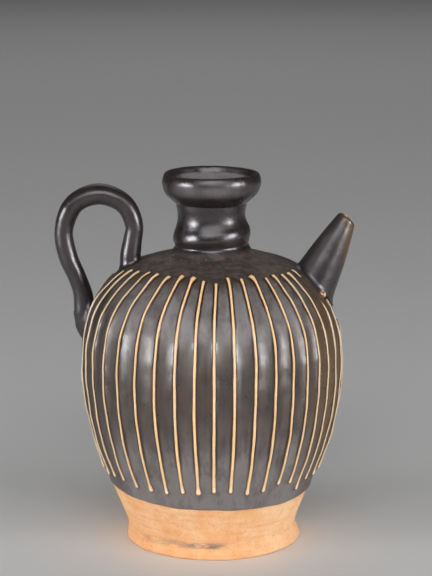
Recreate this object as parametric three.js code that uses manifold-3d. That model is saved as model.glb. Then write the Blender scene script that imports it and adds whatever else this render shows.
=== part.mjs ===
// Wine jug: a wheel-thrown stoneware ewer with a dish mouth on a ringed neck, a round belly ribbed with
// trailed slip, a tapered spout, a loop handle and a low solid foot.
// It stands on z = 0 with its axis on the origin. +Z is up, +X points to the spout, -X to the handle.
import * as THREE from "three";
import { mergeVertices } from "three/addons/utils/BufferGeometryUtils.js";
import Module from "manifold-3d";

// Driving dimensions, lengths in millimetres and angles in degrees
// Layer of slip that joins one thrown piece to the next
const slipLayer = 0.3;

// Foot: a low disc, slightly splayed, cut flat underneath
const footRadius = 49.5;
const footWaistRadius = 47.7;
const footHeight = 9;
const footBevel = 1.2;

// Belly and shoulder, thrown as one hollow form
const lowerBellyHeight = 93.7;
const bellyRadius = 73;
const upperBellyHeight = 52.9;
const shoulderRadius = 50;
const shoulderSlope = 36.7;
const shoulderRise = 8.4;
const shoulderTurn = 4.6;
const wallThickness = 5.5;
const floorThickness = 6;
const floorCornerRadius = 4;

// Fullness of the belly: how far each end of its curves runs on before it bends away
const waistFlare = 5.5;
const waistRun = 19.6;
const lowerBellyFullness = 45;
const upperBellyFullness = 28;
const shoulderFullness = 21;

// Neck: flared seat, groove, thrown ring and waist
const neckHeight = 28.6;
const neckSeatRadius = 23.6;
const neckLandMargin = 0.4;
const neckGrooveRadius = 20.3;
const neckGrooveHeight = 4;
const neckRingRadius = 21.6;
const neckRingHeight = 10;
const neckWaistRadius = 18.9;
const neckWaistHeight = 22.6;
const neckTopRadius = 20.2;
const neckBoreRadius = 14.2;

// Dish mouth with a thick rolled lip
const mouthHeight = 16.5;
const mouthRadius = 27.5;
const lipThickness = 7;
const lipHeight = 4.5;
const dishFloorThickness = 3;

// Spout: a cone set on the shoulder, leaning out over the belly
const spoutLength = 39.7;
const spoutLean = 27;
const spoutDrop = 6.6;
const spoutTipRadius = 5;
const spoutBaseRadius = 13;
const spoutTipBoreRadius = 2.8;
const spoutWallThickness = 3.2;

// Handle: a round coil looped from the shoulder to the belly
const handleThickness = 11.2;
const handleWidth = 11.6;
const handleRootRadius = 45.6;
const handleRise = 39.4;
const handleSpan = 38.5;
const handleLean = 1.6;
const handleBow = 1.2;
const handleDrop = 25;
const handlePress = 2.3;
const handleRootSpread = 3.5;
const handleRootLength = 9;
const handleTailLength = 13;
const handleTailThickness = 3;
const handleTailWidth = 6;

// Ribs: lines of slip trailed down the belly by eye, so that their spacing drifts, and their ends are uneven
// and curl towards the front
const ribCount = 41;
const ribWidth = 3;
const ribHeight = 0.9;
const ribFirstAngle = 0.4;
const ribLean = 1.4;
const ribSlowDrift = 1.27;
const ribSlowPhase = 13;
const ribQuickDrift = 0.77;
const ribQuickPhase = 42;
const ribCurlLength = 50;
const ribTopCurl = 1.6;
const ribTopSweep = 4.6;
const ribFootCurl = 0.9;
const ribFootSweep = 2;
const ribTopBand = 22;
const ribFootBand = 35.5;
const ribEndLength = 1.6;
const ribEndScale = 0.55;
const ribDropScale = 1.25;
const ribDropLength = 5;
const ribClearance = 0.8;

// How far up each end of a rib runs past its band, rib after rib from the left of the front to its right,
// and on round the back in the same order
const ribTopShifts = [-1, 0, 2.5, 1.5, 1, 3, 2, -2, -4.5, 1.5, -1, 2, -3, -1, -2.5, -2.5];
const ribFootShifts = [0, 1, 1, -1, -1, -1, 0, 0, 1.5, 1, -1, -0.5, 2.5, 1.5, -4.5, -0.5];
const ribsLeftOfMiddle = 8;

// Facets of the curved surfaces
const bellySides = 64;
const neckSides = 40;
const spoutSides = 24;
const handleSides = 12;
const handleSteps = 30;

// Heights of the joints, from the standing plane up
const bodyBottom = footHeight + slipLayer;
const bellyLevel = bodyBottom + lowerBellyHeight;
const shoulderLevel = bellyLevel + upperBellyHeight;
const neckLandLevel = shoulderLevel + shoulderRise;
const neckBottom = neckLandLevel + slipLayer;
const mouthBottom = neckBottom + neckHeight + slipLayer;

const wasm = await Module();
wasm.setup();

const radians = THREE.MathUtils.degToRad;

function at(radius, height) {
  return new THREE.Vector2(radius, height);
}

// Solid of revolution about Z from an outline of (radius, height) points
function revolve(outline, sides) {
  const geometry = new THREE.LatheGeometry(outline, sides);
  geometry.rotateX(Math.PI / 2);
  return geometry;
}

// Closed skin over a row of rings with the same number of points, capped at both ends
function loft(rings) {
  const size = rings[0].length;
  const positions = rings.flat().flatMap((point) => point.toArray());
  const faces = [];
  for (let ring = 0; ring + 1 < rings.length; ring += 1) {
    for (let side = 0; side < size; side += 1) {
      const low = ring * size + side;
      const lowNext = ring * size + ((side + 1) % size);
      faces.push(low, lowNext, lowNext + size);
      faces.push(low, lowNext + size, low + size);
    }
  }
  const last = (rings.length - 1) * size;
  for (let side = 1; side + 1 < size; side += 1) {
    faces.push(0, side + 1, side);
    faces.push(last, last + side, last + side + 1);
  }
  const geometry = new THREE.BufferGeometry();
  geometry.setAttribute("position", new THREE.Float32BufferAttribute(positions, 3));
  geometry.setIndex(faces);
  return geometry;
}

function toSolid(geometry) {
  const bare = geometry.clone();
  bare.deleteAttribute("normal");
  bare.deleteAttribute("uv");
  const merged = mergeVertices(bare);
  return new wasm.Manifold(new wasm.Mesh({
    numProp: 3,
    vertProperties: new Float32Array(merged.attributes.position.array),
    triVerts: new Uint32Array(merged.index.array),
  }));
}

function toGeometry(solid) {
  const mesh = solid.getMesh();
  const geometry = new THREE.BufferGeometry();
  geometry.setAttribute("position", new THREE.Float32BufferAttribute(mesh.vertProperties, 3));
  geometry.setIndex(Array.from(mesh.triVerts));
  geometry.computeVertexNormals();
  return geometry;
}

// Outer line of the thrown body, as three curves that run on into each other
const shoulderPoint = at(shoulderRadius, shoulderLevel);
const shoulderInward = at(-Math.cos(radians(shoulderSlope)), Math.sin(radians(shoulderSlope)));
const landPoint = at(neckSeatRadius + neckLandMargin, neckLandLevel);
const bodyCurves = [
  new THREE.CubicBezierCurve(
    at(footWaistRadius, bodyBottom),
    at(footWaistRadius + waistFlare, bodyBottom + waistRun),
    at(bellyRadius, bellyLevel - lowerBellyFullness),
    at(bellyRadius, bellyLevel),
  ),
  new THREE.CubicBezierCurve(
    at(bellyRadius, bellyLevel),
    at(bellyRadius, bellyLevel + upperBellyFullness),
    shoulderPoint.clone().addScaledVector(shoulderInward, -shoulderFullness),
    shoulderPoint,
  ),
  new THREE.QuadraticBezierCurve(
    shoulderPoint,
    shoulderPoint.clone().addScaledVector(shoulderInward, shoulderTurn),
    landPoint,
  ),
];
const outerDivisions = [6, 6, 3];
const innerDivisions = [4, 4, 2];

// The body's line moved along its outward normal, from the foot to the land under the neck
function bodyLine(distance, divisions) {
  const line = [];
  bodyCurves.forEach((curve, index) => {
    for (let step = index === 0 ? 0 : 1; step <= divisions[index]; step += 1) {
      const point = curve.getPoint(step / divisions[index]);
      const tangent = curve.getTangent(step / divisions[index]);
      line.push(at(point.x + tangent.y * distance, point.y - tangent.x * distance));
    }
  });
  return line;
}

const wallLine = bodyLine(0, outerDivisions);

// Radius of the outer wall at a height, and height of the shoulder at a radius
function wallRadius(height) {
  const next = wallLine.findIndex((point) => point.y >= height);
  const low = wallLine[next - 1];
  const high = wallLine[next];
  return THREE.MathUtils.mapLinear(height, low.y, high.y, low.x, high.x);
}

function shoulderHeight(radius) {
  const last = wallLine.findLastIndex((point) => point.x >= radius);
  const outer = wallLine[last];
  const inner = wallLine[last + 1];
  return THREE.MathUtils.mapLinear(radius, outer.x, inner.x, outer.y, inner.y);
}

// Everything inside the body's wall and its layer of slip, which trims what is luted onto it
function bodySeat() {
  const line = bodyLine(slipLayer, outerDivisions);
  const top = line[line.length - 1];
  return toSolid(revolve([at(0, 0), at(line[0].x, 0), ...line, at(0, top.y)], bellySides));
}

// Frame of the spout: its axis starts where it meets the wall and leans out by spoutLean
const spoutRoot = new THREE.Vector3(
  wallRadius(shoulderLevel - spoutDrop),
  0,
  shoulderLevel - spoutDrop,
);
const spoutAxis = new THREE.Vector3(Math.sin(radians(spoutLean)), 0, Math.cos(radians(spoutLean)));

// A cone along the spout's axis, run on past both ends by the given lengths
function spoutCone(baseRadius, tipRadius, below, above) {
  const taper = (tipRadius - baseRadius) / spoutLength;
  const outline = [
    at(0, -below),
    at(baseRadius - taper * below, -below),
    at(tipRadius + taper * above, spoutLength + above),
    at(0, spoutLength + above),
  ];
  const geometry = revolve(outline, spoutSides);
  geometry.rotateY(radians(spoutLean));
  geometry.translate(spoutRoot.x, spoutRoot.y, spoutRoot.z);
  return toSolid(geometry);
}

// The bore runs from the open tip down through the body's wall
function spoutBore() {
  const depth = 3 * wallThickness;
  const overrun = spoutWallThickness;
  return spoutCone(spoutBaseRadius - spoutWallThickness, spoutTipBoreRadius, depth, overrun);
}

// Middle line of the handle's coil: up from the shoulder, over a round arch and down to the belly,
// where the tail is pressed flat onto the wall
function handleCurve() {
  const rootLevel = shoulderHeight(handleRootRadius);
  const archRadius = handleSpan / 2;
  const archCentre = at(handleRootRadius - handleLean + archRadius, rootLevel + handleRise - archRadius);
  const lowerLevel = shoulderLevel - handleDrop;
  const tailLevel = lowerLevel - handleTailLength;
  const lowerRoot = at(wallRadius(lowerLevel) + handleThickness / 2 - handlePress, lowerLevel);
  const line = [at(handleRootRadius, rootLevel - wallThickness)];
  for (let turn = 0; turn <= 180; turn += 45) {
    line.push(at(
      archCentre.x - archRadius * Math.cos(radians(turn)),
      archCentre.y + archRadius * Math.sin(radians(turn)),
    ));
  }
  const archEnd = line[line.length - 1];
  line.push(at((archEnd.x + lowerRoot.x) / 2 + handleBow, (archEnd.y + lowerRoot.y) / 2));
  line.push(lowerRoot);
  line.push(at(wallRadius(tailLevel) + handleTailThickness / 2, tailLevel));
  return new THREE.CatmullRomCurve3(line.map((point) => new THREE.Vector3(-point.x, 0, point.y)));
}

const handleLine = handleCurve();

// Rings of the handle: spread at the shoulder, round along the loop, thinned out over the tail
function handleRings() {
  const sideways = new THREE.Vector3(0, 1, 0);
  const rootEnd = (wallThickness + handleRootLength) / handleLine.getLength();
  const tailStart = 1 - handleTailLength / handleLine.getLength();
  const rings = [];
  for (let step = 0; step <= handleSteps; step += 1) {
    const along = step / handleSteps;
    const middle = handleLine.getPointAt(along);
    const outward = sideways.clone().cross(handleLine.getTangentAt(along));
    const tail = THREE.MathUtils.clamp((along - tailStart) / (1 - tailStart), 0, 1) ** 2;
    const spread = handleRootSpread * Math.max(0, 1 - along / rootEnd) ** 2;
    const halfThickness = (THREE.MathUtils.lerp(handleThickness, handleTailThickness, tail) + spread) / 2;
    const halfWidth = (THREE.MathUtils.lerp(handleWidth, handleTailWidth, tail) + spread) / 2;
    const ring = [];
    for (let side = 0; side < handleSides; side += 1) {
      const turn = (2 * Math.PI * side) / handleSides;
      ring.push(middle.clone()
        .addScaledVector(outward, halfThickness * Math.cos(turn))
        .addScaledVector(sideways, halfWidth * Math.sin(turn)));
    }
    rings.push(ring);
  }
  return rings;
}

// A rib stops short of the spout's base and of the handle's two roots
const handlePoints = handleLine.getSpacedPoints(handleSteps * 3);

function ribIsClear(point) {
  const spare = ribWidth / 2 + ribClearance;
  const along = point.clone().sub(spoutRoot).dot(spoutAxis);
  const across = point.clone().sub(spoutRoot).addScaledVector(spoutAxis, -along).length();
  const taper = (spoutBaseRadius - spoutTipRadius) / spoutLength;
  const handleReach = (handleWidth + handleRootSpread) / 2 + spare;
  const onHandle = handlePoints.some((middle) => middle.distanceTo(point) < handleReach);
  const onSpout = point.x > 0 && across < spoutBaseRadius - taper * along + spare;
  return !onHandle && !onSpout;
}

// Lines that the foot and the crest of every rib follow, just off the body's wall
const ribFootLine = bodyLine(slipLayer, outerDivisions);
const ribCrestLine = bodyLine(slipLayer + ribHeight, outerDivisions);
const ribFootLengths = [0];
for (let index = 1; index < ribFootLine.length; index += 1) {
  ribFootLengths.push(ribFootLengths[index - 1] + ribFootLine[index].distanceTo(ribFootLine[index - 1]));
}
const bodyLineLength = ribFootLengths[ribFootLengths.length - 1];

// Place on one of those lines at a length measured up from the foot
function alongLine(line, length) {
  const next = Math.max(1, ribFootLengths.findIndex((reached) => reached >= length));
  const share = (length - ribFootLengths[next - 1]) / (ribFootLengths[next] - ribFootLengths[next - 1]);
  return line[next - 1].clone().lerp(line[next], share);
}

// Angle of a rib at a length: even spacing with two drifts, a slight lean, and a curl at each end that sweeps
// towards the front from both sides
function ribAngle(index, length) {
  const even = ribFirstAngle + (360 * index) / ribCount;
  const slow = ribSlowDrift * Math.cos(radians(2 * even - ribSlowPhase));
  const quick = ribQuickDrift * Math.cos(radians(6 * even - ribQuickPhase));
  const lean = ribLean * (length / bodyLineLength - 0.5);
  const side = Math.sin(radians(even));
  const nearTop = Math.max(0, 1 - (bodyLineLength - ribTopBand - length) / ribCurlLength) ** 2;
  const nearFoot = Math.max(0, 1 - (length - ribFootBand) / ribCurlLength) ** 2;
  const curl = nearTop * (ribTopCurl - ribTopSweep * side) + nearFoot * (ribFootCurl - ribFootSweep * side);
  return radians(even + slow - quick + lean + curl);
}

// One cross-section of a rib: a low rounded bead, smaller at the ends and fuller in the drop at its foot
function ribRing(index, length, scale) {
  const angle = ribAngle(index, length);
  const outward = new THREE.Vector3(Math.sin(angle), -Math.cos(angle), 0);
  const sideways = new THREE.Vector3(Math.cos(angle), Math.sin(angle), 0);
  const foot = alongLine(ribFootLine, length);
  const crest = foot.clone().lerp(alongLine(ribCrestLine, length), scale);
  const flank = foot.clone().lerp(crest, 0.75);
  const place = (point, side) => new THREE.Vector3(0, 0, point.y)
    .addScaledVector(outward, point.x)
    .addScaledVector(sideways, (side * scale * ribWidth) / 2);
  return [place(foot, -1), place(flank, -0.65), place(crest, 0), place(flank, 0.65), place(foot, 1)];
}

function ribGeometry(index) {
  const turn = ((index + ribsLeftOfMiddle) % ribCount) % ribTopShifts.length;
  const start = ribFootBand + ribFootShifts[turn];
  const highest = bodyLineLength - ribTopBand + ribTopShifts[turn];
  let end = start;
  let clear = true;
  while (clear && end + ribEndLength < highest) {
    end += ribEndLength / 4;
    const angle = ribAngle(index, end);
    const foot = alongLine(ribFootLine, end);
    clear = ribIsClear(new THREE.Vector3(foot.x * Math.sin(angle), -foot.x * Math.cos(angle), foot.y));
  }
  const low = start + ribDropLength;
  const high = end - ribEndLength;
  const between = ribFootLengths.filter((length) => length > low && length < high);
  return loft([
    ribRing(index, start, ribEndScale),
    ribRing(index, start + ribEndLength, ribDropScale),
    ribRing(index, low, 1),
    ...between.map((length) => ribRing(index, length, 1)),
    ribRing(index, high, 1),
    ribRing(index, end, ribEndScale),
  ]);
}

function footGeometry() {
  const side = new THREE.QuadraticBezierCurve(
    at(footRadius, footBevel),
    at(footWaistRadius, footHeight / 2),
    at(footWaistRadius, footHeight),
  );
  const outline = [at(0, 0), at(footRadius - footBevel, 0), ...side.getPoints(4), at(0, footHeight)];
  return revolve(outline, bellySides);
}

function bodyGeometry() {
  const floorLevel = bodyBottom + floorThickness;
  const inside = bodyLine(-wallThickness, innerDivisions)
    .filter((point) => point.y > floorLevel + floorCornerRadius)
    .reverse();
  const lowest = inside[inside.length - 1];
  const outline = [
    at(0, bodyBottom),
    ...wallLine,
    at(neckBoreRadius, neckLandLevel),
    at(neckBoreRadius, neckLandLevel - wallThickness),
    ...inside,
    at(lowest.x - floorCornerRadius, floorLevel),
    at(0, floorLevel),
  ];
  const shell = toSolid(revolve(outline, bellySides));
  return toGeometry(shell.subtract(spoutBore()));
}

function neckGeometry() {
  const side = new THREE.SplineCurve([
    at(neckSeatRadius, neckBottom),
    at(neckGrooveRadius, neckBottom + neckGrooveHeight),
    at(neckRingRadius, neckBottom + neckRingHeight),
    at(neckWaistRadius, neckBottom + neckWaistHeight),
    at(neckTopRadius, neckBottom + neckHeight),
  ]);
  const outline = [
    at(neckBoreRadius, neckBottom),
    ...side.getPoints(12),
    at(neckBoreRadius, neckBottom + neckHeight),
    at(neckBoreRadius, neckBottom),
  ];
  return revolve(outline, neckSides);
}

function mouthGeometry() {
  const lipLevel = mouthBottom + mouthHeight - lipHeight;
  const lipMiddle = mouthRadius - lipThickness / 2;
  const dishRadius = mouthRadius - lipThickness;
  const floorLevel = mouthBottom + dishFloorThickness;
  const outside = new THREE.CubicBezierCurve(
    at(neckTopRadius, mouthBottom),
    at((neckTopRadius + mouthRadius) / 2, mouthBottom + (lipLevel - mouthBottom) / 4),
    at(mouthRadius, (mouthBottom + lipLevel) / 2),
    at(mouthRadius, lipLevel),
  );
  const lip = new THREE.EllipseCurve(lipMiddle, lipLevel, lipThickness / 2, lipHeight, 0, Math.PI);
  const inside = new THREE.QuadraticBezierCurve(
    at(dishRadius, lipLevel),
    at(dishRadius, floorLevel),
    at(neckBoreRadius, floorLevel),
  );
  const outline = [
    at(neckBoreRadius, mouthBottom),
    ...outside.getPoints(6),
    ...lip.getPoints(6).slice(1),
    ...inside.getPoints(3).slice(1),
    at(neckBoreRadius, mouthBottom),
  ];
  return revolve(outline, neckSides);
}

function spoutGeometry() {
  const blank = spoutCone(spoutBaseRadius, spoutTipRadius, 2 * wallThickness, 0);
  return toGeometry(blank.subtract(bodySeat()).subtract(spoutBore()));
}

function handleGeometry() {
  return toGeometry(toSolid(loft(handleRings())).subtract(bodySeat()));
}

const blackGlaze = { color: 0x2c221d, roughness: 0.25, metalness: 0 };
const bareClay = { color: 0xeec59a, roughness: 0.85, metalness: 0 };
const creamSlip = { color: 0xedc796, roughness: 0.35, metalness: 0 };

const jug = new THREE.Group();

function addPiece(name, geometry, finish) {
  const mesh = new THREE.Mesh(geometry, new THREE.MeshStandardMaterial(finish));
  mesh.name = name;
  jug.add(mesh);
}

addPiece("foot", footGeometry(), bareClay);
addPiece("body", bodyGeometry(), blackGlaze);
addPiece("neck", neckGeometry(), blackGlaze);
addPiece("mouth_dish", mouthGeometry(), blackGlaze);
addPiece("spout", spoutGeometry(), blackGlaze);
addPiece("handle", handleGeometry(), blackGlaze);
for (let index = 0; index < ribCount; index += 1) {
  addPiece(`rib_${String(index + 1).padStart(2, "0")}`, ribGeometry(index), creamSlip);
}

export default jug;
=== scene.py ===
import math

import bpy
import numpy as np
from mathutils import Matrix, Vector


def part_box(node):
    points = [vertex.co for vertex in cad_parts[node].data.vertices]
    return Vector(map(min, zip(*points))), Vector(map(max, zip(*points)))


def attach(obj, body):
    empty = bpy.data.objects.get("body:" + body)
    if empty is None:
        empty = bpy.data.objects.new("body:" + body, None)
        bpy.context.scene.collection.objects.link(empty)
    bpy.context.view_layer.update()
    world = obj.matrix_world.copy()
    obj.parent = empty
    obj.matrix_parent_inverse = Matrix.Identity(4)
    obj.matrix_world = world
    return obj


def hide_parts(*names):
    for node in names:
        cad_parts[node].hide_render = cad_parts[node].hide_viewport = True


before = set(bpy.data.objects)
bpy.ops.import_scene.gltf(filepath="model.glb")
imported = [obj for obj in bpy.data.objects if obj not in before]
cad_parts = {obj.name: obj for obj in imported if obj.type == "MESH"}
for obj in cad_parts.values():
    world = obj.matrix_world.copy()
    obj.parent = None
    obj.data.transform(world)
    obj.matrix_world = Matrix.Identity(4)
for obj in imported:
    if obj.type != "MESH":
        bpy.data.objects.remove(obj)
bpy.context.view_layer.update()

# Foot: a low disc of bare buff stoneware that the belly stands on. It was thrown with the belly, cut from
# the wheel with a twisted wire, which left shell-shaped drag lines underneath, and trimmed with a knife.
foot_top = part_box("foot")[1][2]
foot_side = np.array([
    [48.2, 0.0], [49.0, 0.25], [49.45, 0.9], [49.3, 2.6], [48.5, 5.2], [47.85, 7.6], [47.68, 9.0],
]) / 1000
foot_rim_inset = 0.0008
foot_rim_rise = 0.0002
wire_centre = np.array([-0.031, 0.022])
wire_pitch = 0.0026
wire_depth = 0.00022
wire_fade = 0.004
knife_depth = 0.00022
clay_shine = 0.25
grain_depth = 0.00035
clay_peach = (0.825, 0.41, 0.178, 1)
clay_pale = (0.9, 0.6, 0.345, 1)
clay_rust = (0.66, 0.27, 0.1, 1)
clay_speck = (0.34, 0.16, 0.075, 1)
clay_smoke = (0.2, 0.155, 0.12, 1)


def smooth_line(points, count):
    """Centripetal Catmull-Rom line through the points: each span blends the straight lines between its
    four nearest points, with knots spaced by the square root of their distances. Returns points spaced
    evenly along the line."""
    points = np.vstack([2 * points[0] - points[1], points, 2 * points[-1] - points[-2]])
    knots = np.concatenate([[0], np.cumsum(np.sqrt(np.linalg.norm(np.diff(points, axis=0), axis=1)))])
    samples_per_span = 40
    at = np.linspace(knots[1], knots[-2], samples_per_span * len(points))
    span = np.clip(np.searchsorted(knots, at, side="right") - 1, 1, len(points) - 3)
    level = [points[span + shift] for shift in (-1, 0, 1, 2)]
    for pairs in ([(-1, 0), (0, 1), (1, 2)], [(-1, 1), (0, 2)], [(0, 1)]):
        for index, (low, high) in enumerate(pairs):
            share = (at - knots[span + low]) / (knots[span + high] - knots[span + low])
            level[index] = level[index] + share[:, None] * (level[index + 1] - level[index])
    line = level[0]
    length = np.concatenate([[0], np.cumsum(np.linalg.norm(np.diff(line, axis=0), axis=1))])
    even = np.linspace(0, length[-1], count)
    return np.stack([np.interp(even, length, axis) for axis in line.T], axis=-1)


def off_centre(height):
    """Sideways shift of the thrown form at a height: straight runs between a few places where the
    potter's wall stands off the wheel's axis."""
    places = np.array([0, 3, 9, 18, 26, 60, 120, 142, 155, 180, 195, 205]) / 1000
    shifts = np.array([0.6, 0.5, -0.35, -0.7, -0.7, -0.2, -0.3, -0.6, -0.3, -0.3, -0.6, -0.2]) / 1000
    return np.interp(height, places, shifts)


def turned(radius, angle, height):
    """Point at a radius and height, turned round the jug's axis from the front towards the spout."""
    radius, angle, height = np.broadcast_arrays(radius, angle, height)
    return np.stack([radius * np.sin(angle) + off_centre(height), -radius * np.cos(angle), height], axis=-1)


def bell(value, middle, reach):
    """Bell curve: exp(-u^2), with u the distance from the middle over the reach."""
    return np.exp(-(((value - middle) / reach) ** 2))


def once_round(count):
    """Angles evenly spaced once round the axis."""
    return np.linspace(-np.pi, np.pi, count, endpoint=False)


def fired_skin(name, shells, crease):
    """One mesh of closed shells. Each shell is a grid of points, rings[row, column], whose rows close on
    themselves. Two end points close it with fans; without them the last row is joined to the first.
    Traits are values per point of the grid, for the material to read."""
    points, faces, marks = [], [], {}
    start = 0
    for rings, ends, traits in shells:
        rows, columns = rings.shape[:2]
        grid = start + np.arange(rows * columns).reshape(rows, columns)
        if ends is None:
            grid = np.vstack([grid, grid[:1]])
        beside = np.roll(grid, -1, axis=1)
        faces += np.stack([grid[:-1], beside[:-1], beside[1:], grid[1:]], axis=-1).reshape(-1, 4).tolist()
        points += rings.reshape(-1, 3).tolist()
        start += rows * columns
        for mark, values in traits.items():
            marks.setdefault(mark, []).extend(np.broadcast_to(values, (rows, columns)).ravel().tolist())
        if ends is not None:
            points += np.asarray(ends, float).tolist()
            faces += np.stack([np.full(columns, start), beside[0], grid[0]], axis=-1).tolist()
            faces += np.stack([np.full(columns, start + 1), grid[-1], beside[-1]], axis=-1).tolist()
            start += 2
            for mark, values in traits.items():
                values = np.broadcast_to(values, (rows, columns))
                marks[mark] += [float(values[0].mean()), float(values[-1].mean())]
    mesh = bpy.data.meshes.new(name)
    mesh.from_pydata(points, [], faces)
    mesh.shade_smooth()
    mesh.set_sharp_from_angle(angle=math.radians(crease))
    for mark, values in marks.items():
        mesh.attributes.new(mark, "FLOAT", "POINT").data.foreach_set("value", np.array(values, np.float32))
    piece = bpy.data.objects.new(name, mesh)
    bpy.context.scene.collection.objects.link(piece)
    return piece


def node(tree, kind, feeds=None, **settings):
    """Adds a shader node. feeds gives its inputs, each a plain value or another node's output."""
    made = tree.nodes.new("ShaderNode" + kind)
    for setting, value in settings.items():
        setattr(made, setting, value)
    for name, value in (feeds or {}).items():
        if isinstance(value, bpy.types.NodeSocket):
            tree.links.new(value, made.inputs[name])
        else:
            made.inputs[name].default_value = value
    return made


def blend(tree, share, plain, other):
    """Colour that goes from plain to other as the share goes from 0 to 1."""
    return node(tree, "Mix", {0: share, 6: plain, 7: other}, data_type="RGBA").outputs[2]


def between(tree, share, low, high):
    """Number that goes from low to high as the share goes from 0 to 1."""
    return node(tree, "Mix", {0: share, 2: low, 3: high}, data_type="FLOAT").outputs[0]


def sums(tree, operation, first, second):
    """One step of arithmetic on two numbers."""
    return node(tree, "Math", {0: first, 1: second}, operation=operation).outputs[0]


def plus(tree, first, second):
    """Sum of two numbers."""
    return sums(tree, "ADD", first, second)


def times(tree, first, second):
    """Product of two numbers."""
    return sums(tree, "MULTIPLY", first, second)


def rise(tree, value, low, high):
    """Smooth step from 0 at low to 1 at high; low above high makes it fall instead."""
    feeds = {"Value": value, "From Min": low, "From Max": high}
    return node(tree, "MapRange", feeds, interpolation_type="SMOOTHSTEP").outputs[0]


def coordinates(tree):
    """The three coordinates of a point on the jug."""
    return node(tree, "SeparateXYZ", {0: node(tree, "TexCoord").outputs["Object"]}).outputs


def grain(tree, scale, stretch=(1, 1, 1), detail=2.0, roughness=0.5):
    """Noise fixed to the jug, with the given number of lumps to a metre, stretched along the axes."""
    place = node(tree, "TexCoord").outputs["Object"]
    spread = node(tree, "Mapping", {"Vector": place, "Scale": stretch}).outputs[0]
    feeds = {"Vector": spread, "Scale": scale, "Detail": detail, "Roughness": roughness}
    return node(tree, "TexNoise", feeds).outputs[0]


def surface_group(name, inputs):
    """Empty node group of a finish: named inputs, and its colour, roughness and height as outputs. Returns
    the group and the sockets of its inputs."""
    tree = bpy.data.node_groups.new(name, "ShaderNodeTree")
    for socket in inputs:
        tree.interface.new_socket(name=socket, in_out="INPUT", socket_type="NodeSocketFloat")
    for socket, kind in (("Color", "Color"), ("Roughness", "Float"), ("Height", "Float")):
        tree.interface.new_socket(name=socket, in_out="OUTPUT", socket_type="NodeSocket" + kind)
    return tree, tree.nodes.new("NodeGroupInput").outputs


def close_group(tree, colour, roughness, height):
    """Joins a finish's colour, roughness and height to the outputs of its node group."""
    out = tree.nodes.new("NodeGroupOutput")
    for socket, value in (("Color", colour), ("Roughness", roughness), ("Height", height)):
        tree.links.new(value, out.inputs[socket])
    return tree


def bare_clay_group():
    """Buff stoneware: peach and paler clouds, palest on the spout's side, under level knife lines, a rusty
    base, rusty patches, iron specks, a fine mottle and grit. Smoke is how far the kiln greyed it."""
    tree, given = surface_group("bare_clay", ["Smoke"])
    place = node(tree, "TexCoord").outputs["Object"]
    side = coordinates(tree)
    paler = times(tree, rise(tree, side["X"], 0.012, 0.036), 0.45)
    clouds = plus(tree, rise(tree, grain(tree, 90, detail=5.0, roughness=0.6), 0.25, 0.85), paler)
    knife = grain(tree, 1, stretch=(34, 34, 640), detail=3.0)
    base = rise(tree, side["Z"], 0.016, 0.005)
    patches = rise(tree, grain(tree, 95, detail=5.0, roughness=0.65), 0.58, 0.78)
    cells = node(tree, "TexVoronoi", {"Vector": place, "Scale": 820.0}).outputs["Distance"]
    chosen = rise(tree, grain(tree, 300, detail=1.0), 0.5, 0.62)
    speck = times(tree, rise(tree, cells, 0.36, 0.14), chosen)
    mottle = rise(tree, grain(tree, 480, detail=5.0, roughness=0.85), 0.46, 0.7)
    drift = grain(tree, 1, stretch=(110, 110, 430), detail=5.0, roughness=0.65)
    smudge = times(tree, given["Smoke"], rise(tree, drift, 0.3, 0.68))
    colour = blend(tree, clouds, clay_peach, clay_pale)
    for share, strength, tint in (
        (rise(tree, knife, 0.45, 0.72), 0.24, clay_rust),
        (base, 0.22, clay_rust),
        (patches, 0.3, clay_rust),
        (speck, 0.62, clay_speck),
        (mottle, 0.38, clay_rust),
        (smudge, 1.0, clay_smoke),
    ):
        colour = blend(tree, times(tree, share, strength), colour, tint)
    grit = grain(tree, 1500, detail=3.0, roughness=0.7)
    lumps = plus(tree, times(tree, knife, 0.8), times(tree, grit, 0.35))
    lumps = sums(tree, "SUBTRACT", lumps, times(tree, speck, 0.25))
    return close_group(tree, colour, between(tree, grit, 0.62, 0.92), lumps)


def finish_material(name, settings):
    """Material with one Principled BSDF between its own nodes and the output; returns it and its parts."""
    material = bpy.data.materials.new(name)
    material.use_nodes = True
    tree = material.node_tree
    tree.nodes.clear()
    shader = node(tree, "BsdfPrincipled", settings)
    node(tree, "OutputMaterial", {"Surface": shader.outputs[0]})
    return material, tree, shader


def dress(tree, shader, colour, roughness, height, depth):
    """Feeds a shader from a finish: colour, roughness, and a height in which 1 stands for the depth."""
    bump = node(tree, "Bump", {"Strength": 1.0, "Distance": depth, "Height": height})
    tree.links.new(colour, shader.inputs["Base Color"])
    tree.links.new(roughness, shader.inputs["Roughness"])
    tree.links.new(bump.outputs[0], shader.inputs["Normal"])


def trait(tree, name):
    """Value that the mesh carries at each point under this name."""
    return node(tree, "Attribute", attribute_name=name).outputs["Fac"]


def smoke_mark(angle, height):
    """Grey kiln smudge round the waist of the foot: two long bells, one in front and a sloping one to its
    left."""
    front = 1.3 * bell(angle, -0.06, 0.24) * bell(height, 0.0078, 0.0016)
    beside = 0.8 * bell(angle, -0.62, 0.38) * bell(height, 0.009 + 0.002 * angle, 0.0017)
    return front + beside


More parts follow.
